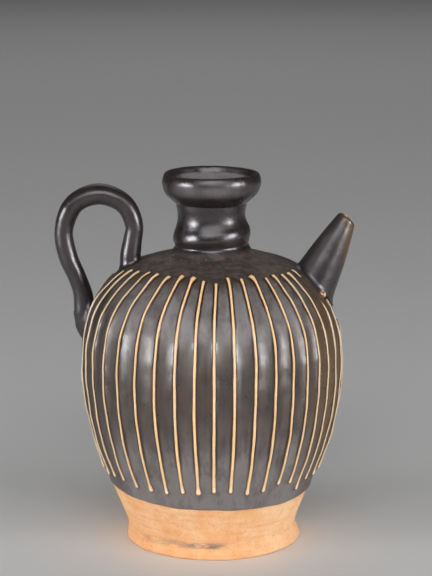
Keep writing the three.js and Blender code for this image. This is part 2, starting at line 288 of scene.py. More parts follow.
def foot_skin():
    """Underside drag lines are arcs round a point off the axis, sunk by a sine of the distance from it. The
    side is a smooth line of radius over height, with the knife's ripple, a product of two sines; the top
    closes it."""
    angle = once_round(192)
    base = np.linspace(0.02, 0.975, 66)[:, None] * foot_side[0, 0]
    under = turned(base, angle, 0.0)
    from_centre = np.hypot(under[..., 0] - wire_centre[0], under[..., 1] - wire_centre[1])
    inside = np.clip((foot_side[0, 0] - base) / wire_fade, 0, 1)
    under[..., 2] += wire_depth * inside * (0.5 + 0.5 * np.sin(2 * np.pi * from_centre / wire_pitch))
    side = smooth_line(foot_side, 26)
    knife = knife_depth * np.sin(9 * angle + side[:, 1:] * 400) * np.sin(4 * angle + 1.3)
    wall = turned(side[:, :1] + knife, angle, side[:, 1:])
    rim = turned(side[-1, 0] - foot_rim_inset, angle[None], foot_top + foot_rim_rise)
    ends = [[off_centre(0.0), 0, 0], [0, 0, foot_top]]
    smoke = np.vstack([np.zeros(under.shape[:2]), smoke_mark(angle, side[:, 1:]), np.zeros(rim.shape[:2])])
    return np.vstack([under, wall, rim]), ends, {"smoke": smoke}


foot = fired_skin("foot_disc", [foot_skin()], 50)
bare_clay = bare_clay_group()
foot_clay, tree, shader = finish_material("foot_bare_clay", {"Specular IOR Level": clay_shine})
clay = node(tree, "Group", {"Smoke": trait(tree, "smoke")}, node_tree=bare_clay).outputs
dress(tree, shader, clay["Color"], clay["Roughness"], clay["Height"], grain_depth)
foot.data.materials.append(foot_clay)
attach(foot, "root")
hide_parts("foot")

# Belly: the thrown hollow body of the jug, in the same stoneware. It was dipped upside down in black-brown
# glaze, which stopped in a wavering line above the foot. The glaze runs off the ribs and pools between them.
wall_foot = [47.68, 8.9]
waist_curve = [[47.7, 9.3], [53.2, 28.9], [73.0, 58.0], [73.0, 103.0]]
crown_curve = [[73.0, 103.0], [73.0, 131.0], [66.84, 143.35], [50.0, 155.9]]
shoulder_curve = [[50.0, 155.9], [46.31, 158.65], [24.0, 164.3]]
wall_thickness = 0.0055
bore_radius = 0.0142
belly_floor = 0.0153
belly_floor_radius = 0.041
inside_heights = [0.157, 0.022]
throwing_depth = 0.00007
throwing_pitch = 0.0019
glaze_depth = 0.00036
glaze_bead = 0.00016
bare_reach = -0.1
matt_heights = [0.154, 0.1595]
slip_height = 0.00045
slip_half = 0.0009
slip_fall = 4
slip_edge = 0.0016
trail_full = 0.88
trail_thinning = 0.22
blunt_top = 2.0
bed_depth = 0.0008
far_reach = 0.02
flute_depth = 0.00115
flute_fall = 2.0
wall_ease = 0.0008
wall_ease_heights = [0.0315, 0.046, 0.148, 0.157]
trail_foot_trim = 0.0012
trail_top_trim = 0.0011
high_top_trim = 0.0025
high_tops = [0.157, 0.1592]
far_top_drop = 0.012
far_side = [0, 0.2]
trails_left_of_middle = 8
trail_drops = np.array([
    0.3, 0.3, 0.25, 0.3, 0.8, 0.3, 0.35, 0.95, 0.3, 0.25, 0.35, 0.35, 0.35, 0.35, 0.2, 0.3,
])
trail_flares = np.array([
    0.5, 0.5, 0.4, 0.7, 1.5, 1.4, 1.8, 0.35, 0.15, 0.6, 0.3, 2.0, 0.3, 0.9, 0.8, 1.4,
])
drop_length = 0.0022
head_length = 0.007
head_spread = 1.3
head_lowness = 0.4
head_rise = 0.012
shade_line_start = 0.044
shade_line_full = 0.074
glaze_black = (0.0078, 0.0063, 0.0074, 1)
glaze_brown = (0.044, 0.0225, 0.0125, 1)
# Grey laid over the glaze: part kiln bloom, part painted sheen.
glaze_bloom_and_sheen = (0.165, 0.15, 0.149, 1)
glaze_amber = (0.1, 0.054, 0.018, 1)
glaze_crumb = (0.4, 0.34, 0.28, 1)
glaze_line_brown = (0.055, 0.023, 0.009, 1)
# Dark line along each rib: brown glaze against the slip, darkened as painted shade in the crease.
brown_glaze_and_shade = (0.028, 0.0135, 0.007, 1)
glaze_matt = (0.105, 0.065, 0.048, 1)
glaze_matt_dark = (0.018, 0.012, 0.0095, 1)


def bezier(points, count):
    """Bezier curve: the control points weighted by the Bernstein terms of t from 0 to 1."""
    points = np.array(points) / 1000
    order = len(points) - 1
    power = np.arange(order + 1)
    t = np.linspace(0, 1, count)[:, None]
    weights = [math.comb(order, k) for k in power] * t**power * (1 - t) ** (order - power)
    return weights @ points


wall_line = np.vstack([
    np.array([wall_foot]) / 1000,
    bezier(waist_curve, 240),
    bezier(crown_curve, 200)[1:],
    bezier(shoulder_curve, 120)[1:],
])
wall_length = np.concatenate([[0], np.cumsum(np.hypot(*np.diff(wall_line, axis=0).T))])
wall_run = np.gradient(wall_line, wall_length, axis=0)


def wall_radius(height):
    """Radius of the belly's outer wall at a height."""
    return np.interp(height, wall_line[:, 1], wall_line[:, 0])


def length_at(height):
    """Length up the wall's line from the foot to a height."""
    return np.interp(height, wall_line[:, 1], wall_length)


def line_at(length):
    """Radius and height of the wall's line at a length up it from the foot."""
    return np.interp(length, wall_length, wall_line[:, 0]), np.interp(length, wall_length, wall_line[:, 1])


def normal_at(length):
    """Outward and upward parts of the wall's normal at a length up its line."""
    return np.interp(length, wall_length, wall_run[:, 1]), -np.interp(length, wall_length, wall_run[:, 0])


def on_wall(length, angle, lift):
    """Point on the belly: the wall's line at a length from the foot, lifted along its outward normal and
    turned round the axis."""
    radius, height = line_at(length)
    out, up = normal_at(length)
    return turned(radius + lift * out, angle, height + lift * up)


def slip_trail(name):
    """Where one rib of slip lies, read from its solid: the angle of its middle, the lengths up the wall of
    its two ends, and the six terms of its wander, a fifth-order curve fitted to its corners' angle over
    length. A trail that starts high on the shoulder is cut a little shorter."""
    corners = np.empty(3 * len(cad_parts[name].data.vertices), np.float32)
    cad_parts[name].data.vertices.foreach_get("co", corners)
    x, y, z = corners.reshape(-1, 3).T.astype(float)
    middle = np.angle(np.mean(-y + 1j * x))
    offset = np.angle((-y + 1j * x) * np.exp(-1j * middle))
    wander = np.polyfit(length_at(z) / wall_length[-1], offset, 5)
    foot = length_at(z.min()) + trail_foot_trim
    top = length_at(z.max()) - trail_top_trim - high_top_trim * np.interp(z.max(), high_tops, [0, 1])
    return np.concatenate([[middle, foot, top], wander])


rib_names = sorted(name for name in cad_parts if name.startswith("rib_"))
trails = np.array([slip_trail(name) for name in rib_names])
trails = trails[np.argsort(trails[:, 0])]
trails[:, 2] -= far_top_drop * np.interp(np.cos(trails[:, 0]), far_side, [1, 0])
trail_angle, trail_foot, trail_top, *trail_wander = trails.T
hand = np.random.default_rng(11)
trail_sway = hand.uniform(0, 2 * np.pi, (4, len(trails)))
trail_flank = hand.uniform(0.75, 1.3, (3, len(trails)))
panel_bloom_and_sheen = hand.uniform(0.7, 1.15, len(trails))
trail_order = np.arange(len(trails)) - np.argmin(np.abs(trail_angle)) + trails_left_of_middle
trail_drop = trail_drops[trail_order % len(trails) % len(trail_drops)]
trail_flare = trail_flares[trail_order % len(trails) % len(trail_flares)]


def trail_at(rib, length):
    """Angle of a trail at a length up the wall: its middle and wander, with two short sways of the hand."""
    length = np.clip(length, trail_foot[rib], trail_top[rib])
    slow_sway = 0.0001 * np.sin(length / 0.011 + trail_sway[0][rib])
    quick_sway = 0.00003 * np.sin(length / 0.0036 + trail_sway[1][rib])
    wander = np.polyval([term[rib] for term in trail_wander], length / wall_length[-1])
    return trail_angle[rib] + wander + (slow_sway + quick_sway) / line_at(length)[0]


def trail_girth(rib, length):
    """Fullness of a trail: it thins evenly from its foot to its top, with two ripples along it, a drop where
    it ends at the foot and a head, widening as u^2, where it starts at the top."""
    length = np.clip(length, trail_foot[rib], trail_top[rib])
    climb = (length - trail_foot[rib]) / (trail_top[rib] - trail_foot[rib])
    slow_ripple = 0.05 * np.sin(length / 0.0047 + trail_sway[2][rib])
    quick_ripple = 0.03 * np.sin(length / 0.0013 + trail_sway[3][rib])
    drop = trail_drop[rib] * bell(length, trail_foot[rib], drop_length)
    flare = trail_flare[rib] * np.clip(1 - (trail_top[rib] - length) / head_length, 0, 1) ** 2
    return (trail_full - trail_thinning * climb) * (1 + slow_ripple + quick_ripple + drop + flare)


def step(value, low, high):
    """Smooth step from 0 at low to 1 at high."""
    t = np.clip((value - low) / (high - low), 0, 1)
    return t * t * (3 - 2 * t)


def trail_lift(rib, length, aside):
    """Height of the slip over the wall: a bead h / (1 + (d / w)^p), with d the distance from the trail's
    middle line, measured round its blunt ends as well, on a hollow flank that falls from the trail to the
    middle of the panel beside it. Also returns d over the trail's fullness, and over the fullness of its
    body, which the head outgrows."""
    past = np.maximum(0, np.maximum(trail_foot[rib] - length, blunt_top * (length - trail_top[rib])))
    girth = trail_girth(rib, length)
    distance = (np.abs(aside) ** 3 + past**3) ** (1 / 3)
    away = distance / girth
    low_head = 1 - head_lowness + head_lowness * step(trail_top[rib] - length, 0.0, head_rise)
    bead = slip_height * low_head * girth**0.5 / (1 + (away / slip_half) ** slip_fall)
    half_panel = np.pi * line_at(length)[0] / len(trails)
    nearness = np.clip(1 - np.abs(aside) / half_panel, 0, 1)
    slow_waver = 0.16 * np.sin(length / 0.008 + 20 * trail_flank[1][rib])
    quick_waver = 0.1 * np.sin(length / 0.0031 + 20 * trail_flank[2][rib])
    flank = flute_depth * trail_flank[0][rib] * (1 + slow_waver + quick_waver) * nearness**flute_fall
    return bead + flank * (1 - step(past, 0, 0.005)), away, distance / np.minimum(girth, head_spread)


def eased(length):
    """How far the wall draws in under its ribs: not at the glaze's stop, where the foot's clay goes on, nor
    at the shoulder's top."""
    start, full, falls, end = length_at(wall_ease_heights)
    return wall_ease * step(length, start, full) * (1 - step(length, falls, end))


def glaze_stop(angle):
    """Height where the glaze stops: one long wave round the foot and three short ones."""
    long_wave = 33.0 - 1.7 * np.sin(angle) - 1.6 * np.cos(angle)
    short_waves = 0.22 * np.sin(5 * angle + 1) + 0.16 * np.sin(11 * angle + 2) + 0.1 * np.sin(23 * angle)
    return (long_wave + short_waves) / 1000


def glaze_coat(reach):
    """Thickness of the glaze at a length above its stop: it rises as 1 - exp(-u) to its full depth within
    half a millimetre, with a fuller bead just above the line."""
    bead = glaze_bead * bell(reach, 0.0009, 0.0006)
    return np.where(reach > 0, glaze_depth * (1 - np.exp(-reach / 0.00022)) + bead, 0)


def bloom_and_sheen_by_height(height):
    """How much grey lies on the glaze at a height: most near the glaze's stop, least round the middle.
    Partly kiln dulling, partly painted sheen standing in for reflected light, most of all on the upper
    belly.
    """
    places = np.array([31, 48, 62, 76, 95, 110, 122, 140, 150, 156, 160]) / 1000
    return np.interp(height, places, [1.45, 1.35, 1.0, 0.35, 0.06, 0.15, 0.5, 1.15, 1.15, 0.5, 0.0])


def belly_skin():
    """Columns lie at fixed distances from each trail, over its fullness, and share out what is left between;
    rows follow the glaze's stop. The wall is lifted by its coat of glaze and by the slip's flanks, and is
    sunk under the trails themselves, which are a piece of their own. Coarser rows go down inside to the
    floor. The reaches from the glaze's stop and from the slip are kept in millimetres."""
    near = np.array([0, 0.8, 1.2, 1.5, 1.9, 2.6]) / 1000
    centre = np.array([0.2, 0.4, 0.6, 0.8])
    from_left = np.concatenate([near, np.full(len(centre) + len(near) - 1, near[-1])])
    share = np.concatenate([0 * near, centre, np.ones(len(near) - 1)])
    to_right = np.concatenate([0 * near, 0 * centre, near[-1] - near[:0:-1]])
    count = len(trails)
    left = np.repeat(np.arange(count), len(share))
    right = (left + 1) % count
    from_left, share, to_right = (np.tile(part, count) for part in (from_left, share, to_right))
    turn = np.where(right == 0, 2 * np.pi, 0)
    usual_gap = 0.004
    nominal = (from_left + to_right + usual_gap * share) / (2 * near[-1] + usual_gap)
    column = trail_angle[left] + nominal * (trail_angle[right] + turn - trail_angle[left])
    stop = length_at(glaze_stop(column))
    edge = np.array([-0.9, -0.5, -0.25, -0.08, 0.04, 0.16, 0.34, 0.6, 1.1]) / 1000
    bands = np.array([0, 24, 92, 150, 178]) / 1000
    pitches = [0.00105, 0.0021, 0.0016, 0.0009]
    glazed = np.concatenate([np.arange(*band) for band in zip(bands[:-1], bands[1:], pitches)])[1:]
    glazed /= wall_length[-1] - stop.mean()
    glazed = np.append(glazed[glazed < 0.98], 1)
    length = np.vstack([
        np.linspace(0, 1, 14, endpoint=False)[:, None] * (stop + edge[0]),
        stop + edge[:, None],
        stop + edge[-1] + glazed[:, None] * (wall_length[-1] - stop - edge[-1]),
    ])
    radius, height = line_at(length)
    first, last = trail_at(left, length), trail_at(right, length) + turn
    panel = (last - first) * radius
    widest_share = 0.4
    most = widest_share * panel / near[-1]
    left_girth = np.minimum(trail_girth(left, length), most)
    right_girth = np.minimum(trail_girth(right, length), most)
    open_part = panel - near[-1] * (left_girth + right_girth)
    aside = from_left * left_girth + share * open_part + to_right * right_girth
    angle = first + aside / radius
    left_lift, _, left_away = trail_lift(left, length, aside)
    right_lift, _, right_away = trail_lift(right, length, panel - aside)
    away = np.minimum(left_away, right_away)
    bed = bed_depth * (1 - step(away, near[2], near[3]))
    spiral = throwing_depth * np.sin(length / throwing_pitch + angle) * step(length, 0.0, 0.03)
    flank = np.maximum(left_lift, right_lift) - bed + spiral - eased(length)
    outside = on_wall(length, angle, glaze_coat(length - stop) + flank)
    bearing = angle[-1:]
    land = turned(bore_radius, bearing, wall_line[-1, 1])
    throat = turned(bore_radius, bearing, wall_line[-1, 1] - wall_thickness)
    inside = on_wall(np.linspace(*length_at(inside_heights), 16)[:, None], bearing, -wall_thickness)
    corner = turned(belly_floor_radius, bearing, belly_floor)
    rings = np.vstack([outside, land, throat, inside, corner])
    hidden = np.full((len(rings) - len(outside), len(column)), far_reach)
    # Painted shade: less grey on the jug's left and right sides as seen from the front, so they read darker.
    side_shade = step(np.abs(np.sin(angle)), 0.6, 0.98)
    bloom_and_sheen = bloom_and_sheen_by_height(height) * panel_bloom_and_sheen[left] * (1 - 0.8 * side_shade)
    traits = {
        "glaze_reach": 1000 * np.vstack([length - stop, hidden]),
        "slip_reach": 1000 * np.vstack([np.minimum(away, far_reach), hidden]),
        "smoke": np.vstack([smoke_mark(angle, height), 0 * hidden]),
        "shoulder": np.vstack([step(length, *length_at(matt_heights)), 0 * hidden]),
        "bloom_and_sheen": np.vstack([bloom_and_sheen, 0 * hidden]),
    }
    return rings, [[0, 0, wall_line[0, 1]], [0, 0, belly_floor]], traits


def swing(tree, value, reach):
    """Noise moved to lie about nought: its distance from a half, times the reach."""
    return times(tree, sums(tree, "SUBTRACT", value, 0.5), reach)


def black_glaze_group():
    """Iron glaze: near black where it is thick, and amber where it is thin. Brown is the strength of its
    vertical runs; the third input is the grey laid over it, partly kiln bloom and partly painted sheen; Matt
    is the dry, mottled, speckled brown of the shoulder. Pinholes all over."""
    tree, given = surface_group("black_glaze", ["Thin", "Brown", "Bloom_and_sheen", "Matt"])
    runs = grain(tree, 1, stretch=(230, 230, 26), detail=4.0, roughness=0.6)
    threads = grain(tree, 1, stretch=(950, 950, 70), detail=2.0)
    clouds = grain(tree, 70, detail=4.0, roughness=0.6)
    fine = grain(tree, 620, detail=3.0, roughness=0.6)
    streaks = plus(tree, runs, times(tree, clouds, 0.6))
    brown = times(tree, rise(tree, streaks, 0.48, 0.95), given["Brown"])
    colour = blend(tree, brown, glaze_black, glaze_brown)
    uneven = plus(tree, plus(tree, clouds, runs), times(tree, threads, 0.4))
    veil = between(tree, rise(tree, uneven, 0.85, 1.55), 0.45, 1.2)
    # Grey over the glaze, part kiln bloom and part painted sheen, as much as the mesh's value asks.
    colour = blend(tree, times(tree, given["Bloom_and_sheen"], veil), colour, glaze_bloom_and_sheen)
    mottle = rise(tree, grain(tree, 190, detail=6.0, roughness=0.85), 0.41, 0.62)
    colour = blend(tree, given["Matt"], colour, blend(tree, mottle, glaze_matt_dark, glaze_matt))
    broken = plus(tree, given["Thin"], swing(tree, fine, 0.9))
    colour = blend(tree, rise(tree, broken, 0.25, 1.0), colour, glaze_amber)
    place = node(tree, "TexCoord").outputs["Object"]
    cells = node(tree, "TexVoronoi", {"Vector": place, "Scale": 260.0}).outputs["Distance"]
    chosen = rise(tree, grain(tree, 170, detail=1.0), 0.6, 0.66)
    pinhole = times(tree, rise(tree, cells, 0.13, 0.05), chosen)
    colour = blend(tree, times(tree, pinhole, 0.35), colour, glaze_amber)
    littered = rise(tree, grain(tree, 120, detail=1.0), 0.54, 0.62)
    crumbs = times(tree, rise(tree, cells, 0.15, 0.06), littered)
    crumbs = times(tree, crumbs, given["Matt"])
    colour = blend(tree, times(tree, crumbs, 0.85), colour, glaze_crumb)
    dull = between(tree, given["Bloom_and_sheen"], 0.24, 0.46)
    dull = plus(tree, dull, times(tree, rise(tree, clouds, 0.3, 0.75), 0.13))
    roughness = between(tree, given["Matt"], dull, 0.72)
    swells = times(tree, grain(tree, 75, detail=2.0), 1.5)
    dimples = times(tree, grain(tree, 260, stretch=(1, 1, 0.6), detail=2.0), 0.3)
    height = plus(tree, plus(tree, dimples, swells), times(tree, runs, 0.3))
    height = sums(tree, "SUBTRACT", height, times(tree, pinhole, 0.1))
    return close_group(tree, colour, roughness, height)


belly_shell = belly_skin()
belly = fired_skin("belly", [belly_shell], 50)
black_glaze = black_glaze_group()
belly_glaze, tree, shader = finish_material("belly_black_glaze", {"IOR": 1.75})
glaze_reach = trait(tree, "glaze_reach")
slip_reach = trait(tree, "slip_reach")
place = coordinates(tree)
thin_right = times(tree, rise(tree, place["X"], 0.036, 0.072), 0.95)
thin_edge = times(tree, rise(tree, glaze_reach, 1.6, 0.2), 0.5)
above_tips = rise(tree, place["Z"], shade_line_start, shade_line_full)
# Painted shade: the grey is taken off the glaze within a few millimetres of each rib, fading out low on the
# belly.
beside = times(tree, rise(tree, slip_reach, 3.2, 1.6), above_tips)
feeds = {
    "Thin": sums(tree, "MAXIMUM", thin_right, thin_edge),
    "Brown": 1.0,
    "Bloom_and_sheen": times(tree, trait(tree, "bloom_and_sheen"), sums(tree, "SUBTRACT", 1.0, beside)),
    "Matt": trait(tree, "shoulder"),
}
glaze = node(tree, "Group", feeds, node_tree=black_glaze).outputs
# Painted shade: a dark brown line along each rib's edge, fading out low on the belly.
rib_shade_line = times(tree, rise(tree, slip_reach, 2.4, 1.6), above_tips)
colour = blend(tree, rib_shade_line, glaze["Color"], brown_glaze_and_shade)
stop_line = times(tree, rise(tree, glaze_reach, 0.75, 0.2), 0.85)
colour = blend(tree, stop_line, colour, glaze_line_brown)
dress(tree, shader, colour, glaze["Roughness"], glaze["Height"], grain_depth)
belly.data.materials.append(belly_glaze)
belly_clay, tree, shader = finish_material("belly_bare_clay", {"Specular IOR Level": clay_shine})
clay = node(tree, "Group", {"Smoke": trait(tree, "smoke")}, node_tree=bare_clay).outputs
stain = times(tree, rise(tree, trait(tree, "glaze_reach"), -0.45, bare_reach), 0.7)
colour = blend(tree, stain, clay["Color"], glaze_line_brown)
dress(tree, shader, colour, clay["Roughness"], clay["Height"], grain_depth)
belly.data.materials.append(belly_clay)
unglazed = (belly_shell[2]["glaze_reach"] < bare_reach)[:-1]
round_ends = np.repeat([True, False], unglazed.shape[1])
belly.data.polygons.foreach_set("material_index", np.append(unglazed, round_ends).astype(np.int32))
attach(belly, "root")
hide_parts("body")

# Ribs: lines of cream slip trailed down the wall from a horn while the clay was leather hard, under the
# glaze. The glaze draws off their crests, so they show cream, with rust along both edges.
slip_cream = (0.84, 0.59, 0.335, 1)
slip_pale = (0.94, 0.80, 0.60, 1)
slip_tan = (0.72, 0.42, 0.19, 1)
slip_side_shade = (0.6, 0.5, 0.33, 1)
slip_rust = (0.34, 0.13, 0.04, 1)
# Painted shade on the rib's edges low on the belly.
slip_flank_shade = (0.12, 0.085, 0.065, 1)
slip_grain_depth = 0.0003
rib_underside = 0.0009
rib_tuck = 0.0003
tip_length = 0.003


def rib_skin(rib):
    """One trail: rows along it, with its two round ends, and columns across. The top follows the slip's
    height over the wall, out to where the belly takes the flank over; a flat underside lies in the wall."""
    cap = np.radians([86, 70, 52, 34, 16])
    round_out, round_in = np.sin(cap) ** (2 / 3), np.cos(cap) ** (2 / 3)
    foot, top = trail_foot[rib], trail_top[rib]
    body = np.linspace(0, 1, 110) ** 0.9 * (top - foot) + foot
    halves = slip_edge * np.minimum(trail_girth(rib, body), head_spread)
    foot_half, top_half = halves[0], halves[-1]
    top_reach = top_half / blunt_top
    length = np.concatenate([foot - foot_half * round_out, body, top + top_reach * round_out[::-1]])[:, None]
    half = np.concatenate([foot_half * round_in, halves, top_half * round_in[::-1]])[:, None]
    across = np.array([-1, -0.86, -0.7, -0.52, -0.34, -0.17, 0, 0.17, 0.34, 0.52, 0.7, 0.86, 1, 0.5, -0.5])
    under = np.arange(len(across)) > 12
    aside = half * across
    radius, height = line_at(length)
    lift, away, _ = trail_lift(rib, length, aside)
    tucked = rib_tuck * (np.abs(across) == 1)
    lift = np.where(under, -rib_underside, glaze_depth + lift - tucked) - eased(length)
    rings = on_wall(length, trail_at(rib, length) + aside / radius, lift)
    ends = [
        on_wall(foot - foot_half, trail_at(rib, foot), -rib_tuck),
        on_wall(top + top_reach, trail_at(rib, top), -rib_tuck),
    ]
    tip = bell(np.maximum(length, foot), foot, tip_length)
    crest = np.where(under, 1.0, away / slip_edge)
    from_spout = np.abs(np.sin(trail_angle[rib]) - 1) < 0.12
    covered = from_spout * step(height, 0.1385, 0.1415) * (1 - step(height, 0.1535, 0.1545))
    # Painted shade: ribs turned toward the left and right, as seen from the front, get a duller khaki, but
    # not at their tips.
    aslant = step(np.abs(np.sin(trail_angle[rib])), 0.62, 0.97) * (1 - tip)
    traits = {"slip_across": crest, "slip_tip": tip, "slip_side_shade_share": aslant, "slip_covered": covered}
    return rings, ends, traits


ribs = fired_skin("slip_ribs", [rib_skin(rib) for rib in range(len(trails))], 70)
rib_finish, tree, shader = finish_material("cream_slip", {"IOR": 1.5})
uneven = swing(tree, grain(tree, 190, detail=4.0, roughness=0.65), 0.16)
across = plus(tree, trait(tree, "slip_across"), uneven)
tip = times(tree, trait(tree, "slip_tip"), 0.8)
colour = blend(tree, rise(tree, across, 0.3, 0.5), blend(tree, tip, slip_cream, slip_pale), slip_tan)
# Painted shade: duller khaki on ribs toward the jug's left and right sides.
colour = blend(tree, trait(tree, "slip_side_shade_share"), colour, slip_side_shade)
colour = blend(tree, rise(tree, across, 0.47, 0.6), colour, slip_rust)
place = coordinates(tree)
above_tips = rise(tree, place["Z"], shade_line_start, shade_line_full)
# Painted shade: the rib's edges darken where they meet the wall, dark brown up the belly and a lighter brown
# low down.
flank = blend(tree, above_tips, slip_flank_shade, brown_glaze_and_shade)
colour = blend(tree, rise(tree, across, 0.57, 0.7), colour, flank)
freckle = rise(tree, grain(tree, 900, detail=2.0), 0.62, 0.75)
colour = blend(tree, times(tree, freckle, 0.3), colour, slip_rust)
glaze = node(tree, "Group", {"Brown": 1.0}, node_tree=black_glaze).outputs
colour = blend(tree, trait(tree, "slip_covered"), colour, glaze["Color"])
roughness = between(tree, rise(tree, across, 0.2, 0.9), 0.45, 0.3)
dress(tree, shader, colour, roughness, glaze["Height"], slip_grain_depth)
ribs.data.materials.append(rib_finish)
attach(ribs, "root")
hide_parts(*rib_names)

# Neck: a tube thrown apart from the belly, with one full ring squeezed out round its middle, and luted
# with slip onto the flat land of the shoulder. The ring was left a little higher on the spout's side.
neck_side = np.array([
    [27.6, 163.42], [25.4, 164.12], [23.2, 165.4], [21.6, 167.4], [20.6, 169.6], [21.2, 171.9],
    [21.7, 174.6], [21.25, 177.6], [20.05, 180.6], [19.1, 184.0], [18.95, 187.4], [19.5, 190.6],
    [19.9, 193.6],
]) / 1000
neck_seat = [0.0268, 0.1615]
neck_top = 0.1934
ring_tilt = 0.08
ring_height = 0.1765
ring_reach = 0.0075


def neck_skin():
    """Outside is a smooth line of radius over height, tilted as a bell where the ring is; the bore inside
    is straight."""
    angle = once_round(160)
    bore = [[bore_radius, neck_top], [bore_radius, neck_seat[1]]]
    side = np.vstack([neck_seat, smooth_line(neck_side, 74), bore])
    radius, height = side[:, :1], side[:, 1:]
    outside = radius > bore_radius
    tilt = ring_tilt * outside * bell(height, ring_height, ring_reach) * radius * np.sin(angle)
    crest = 0.35 * outside * bell(height, 0.1743, 0.0018)
    skirt = 1 - step(height, 0.1645, 0.1685)
    traits = {"thin_glaze": crest, "shoulder": skirt, "bloom_and_sheen": 0.02}
    return turned(radius, angle, height + tilt), None, traits


def glaze_material(name):
    """Black glaze all over, thin where the mesh says so, worn to bare clay along the edges it marks, and
    splashed with slip where it was luted."""
    material, tree, shader = finish_material(name, {"IOR": 1.7, "Specular Tint": (0.97, 0.94, 1.0, 1)})
    feeds = {
        "Thin": trait(tree, "thin_glaze"),
        "Brown": 0.2,
        "Bloom_and_sheen": trait(tree, "bloom_and_sheen"),
        "Matt": trait(tree, "shoulder"),
    }
    glaze = node(tree, "Group", feeds, node_tree=black_glaze).outputs
    clay = node(tree, "Group", node_tree=bare_clay).outputs
    patchy = swing(tree, grain(tree, 480, detail=4.0), 1.1)
    worn = rise(tree, plus(tree, trait(tree, "worn_edge"), patchy), 0.45, 0.7)
    colour = blend(tree, worn, glaze["Color"], clay["Color"])
    roughness = between(tree, worn, glaze["Roughness"], clay["Roughness"])
    height = between(tree, worn, glaze["Height"], clay["Height"])
    dress(tree, shader, colour, roughness, height, grain_depth)
    return material


neck = fired_skin("neck_tube", [neck_skin()], 60)
coat = glaze_material("black_glaze_coat")
neck.data.materials.append(coat)
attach(neck, "root")
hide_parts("neck")

# Mouth: a small thrown dish with a rounded lip, luted onto the neck's top with a crease below it. It was
# glazed inside and out with the rest of the jug; the glaze is thinner along the crest of the lip.
mouth_side = np.array([
    [19.0, 192.4], [20.35, 193.4], [22.4, 195.2], [26.0, 198.9], [27.4, 203.0], [27.65, 205.4],
    [27.4, 207.0], [26.95, 208.4], [26.4, 209.5], [25.8, 210.0], [25.1, 209.7], [23.5, 206.2],
    [21.0, 201.4], [18.6, 198.3], [14.6, 196.6],
]) / 1000
mouth_bore = [[bore_radius, 0.1960], [bore_radius, 0.1930]]
lip_height = 0.21
lip_droop = 0.00022
last_row_outside = 49
first_row_inside = 71


def mouth_skin():
    """Outside, lip and inside are one smooth line of radius over height; the bore below it is straight. The
    lip droops a little on two sides."""
    angle = once_round(176)
    side = np.vstack([smooth_line(mouth_side, 110), mouth_bore])
    radius, height = side[:, :1], side[:, 1:]
    droop = lip_droop * np.sin(2 * angle + 0.6) * step(height, 0.196, 0.207)
    rings = turned(radius + 0.0001 * np.sin(3 * angle), angle, height + droop)
    row = np.arange(len(side))[:, None]
    crest = 0.4 * bell(height, lip_height, 0.0011)
    # Painted reflection: grey sheen on the inside of the dish's far wall and on the outside of its front.
    back_wall_sheen = (row >= first_row_inside) * (1 - step(height, 0.2055, 0.2085))
    front_sheen = (row <= last_row_outside) * bell(height, 0.2025, 0.0028) * bell(angle, 0, 0.8)
    bloom_and_sheen = 0.04 + 1.3 * back_wall_sheen * step(-np.cos(angle), 0.4, 0.9) + 0.5 * front_sheen
    return rings, None, {"thin_glaze": crest, "bloom_and_sheen": bloom_and_sheen}


mouth = fired_skin("mouth_dish_rim", [mouth_skin()], 60)
mouth.data.materials.append(coat)
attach(mouth, "root")
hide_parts("mouth_dish")

# Spout: a tapered tube rolled round a stick, cut to the curve of the shoulder and luted over a hole in it.
# Clay was smoothed down all round the root, and the glaze has worn off the rim of the tip.
spout_lean = math.radians(27)
spout_length = 0.0391
spout_root_height = 0.1493
spout_base = 0.013
spout_tip = 0.0054
spout_wall = 0.0032
spout_bore = 0.0028
spout_slant = 0.23
spout_back_slant = 0.2
spout_swell = 0.0006
spout_bore_end = 0.004
lip_round = 0.0012
lip_turn = np.radians([25, 50, 75, 100, 130, 160])
lip_wear = np.array([0.2, 0.45, 0.6, 0.5, 0.2, 0.0])
smear_centre = np.array([0.0612, -0.0132, 0.1432])
smear_reach = 0.0038
luted_depth = 0.0022
luted_lift = 0.0003


def picked(lines, at):
    """Points of lines[step, side] at fractional steps, by straight runs between neighbours."""
    low = np.clip(np.floor(at).astype(int), 0, len(lines) - 2)
    part = (at - low)[..., None]
    side = np.broadcast_to(np.arange(lines.shape[1]), at.shape)
    return lines[low, side] * (1 - part) + lines[low + 1, side] * part


def wall_normal(points):
    """Outward normal of the belly's wall nearest to each point, from the slope of the wall's line."""
    length = length_at(points[..., 2])
    angle = np.arctan2(points[..., 0], -points[..., 1])
    out, up = normal_at(length)
    return np.stack([out * np.sin(angle), -out * np.cos(angle), up], axis=-1)


def luted_rows(lines, middle, climb, spread, rows):
    """Fillet between a tube and the wall. Each of the lines runs from inside the wall to the free end; where
    it leaves the wall, a quadratic Bezier goes from the wall, spread away from the middle, to the tube a
    climb above. Returns the rows, and the fractional step where each line goes on."""
    clearance = np.hypot(lines[..., 0], lines[..., 1]) - wall_radius(lines[..., 2])
    after = np.argmax(clearance > 0, axis=0)
    side = np.arange(lines.shape[1])
    before = clearance[after - 1, side]
    leave = after - 1 + before / (before - clearance[after, side])
    touch = picked(lines, leave)
    normal = wall_normal(touch)
    away = touch - middle
    away -= normal * np.sum(away * normal, axis=-1, keepdims=True)
    away /= np.linalg.norm(away, axis=-1, keepdims=True)
    edge = touch + away * spread
    on_edge = wall_radius(edge[:, 2]) + glaze_depth - 0.0001
    edge[:, :2] *= (on_edge / np.hypot(edge[:, 0], edge[:, 1]))[:, None]
    pitch = np.linalg.norm(lines[1:] - lines[:-1], axis=-1).mean(axis=0)
    onward = leave + climb / pitch
    top = picked(lines, onward)
    t = np.linspace(0, 1, rows)[:, None, None]
    fillet = (1 - t) ** 2 * edge + 2 * t * (1 - t) * (touch + normal * luted_lift) + t**2 * top
    return np.vstack([(edge - normal * luted_depth)[None], fillet]), onward


